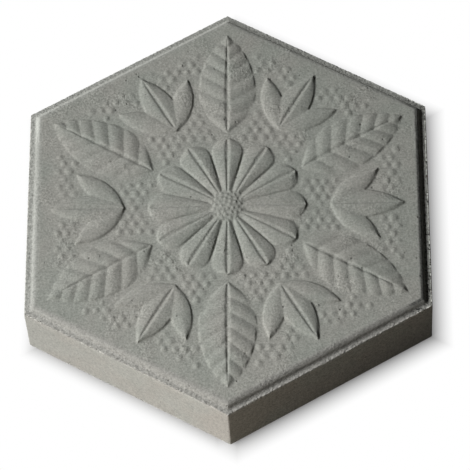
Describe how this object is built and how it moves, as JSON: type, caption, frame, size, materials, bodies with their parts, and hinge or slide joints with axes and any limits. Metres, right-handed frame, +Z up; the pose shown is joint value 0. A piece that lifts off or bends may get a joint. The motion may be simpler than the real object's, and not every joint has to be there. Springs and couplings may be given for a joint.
{
  "type": "hexagon floor tile",
  "caption": "Thick hexagonal pressed concrete floor tile with flat back, narrow ledge round the rim and a raised face carrying low floral relief.",
  "frame": {"origin": "centre of the flat back, on the floor", "axes": "+Z up through the thickness, corners on +Y and -Y, flat sides square to +X and -X"},
  "size_m": [0.25, 0.2886, 0.0449],
  "materials": {
    "concrete": "matt, finely sandy grey concrete"
  },
  "bodies": {
    "root": {"tile": "concrete"}
  },
  "joints": []
}
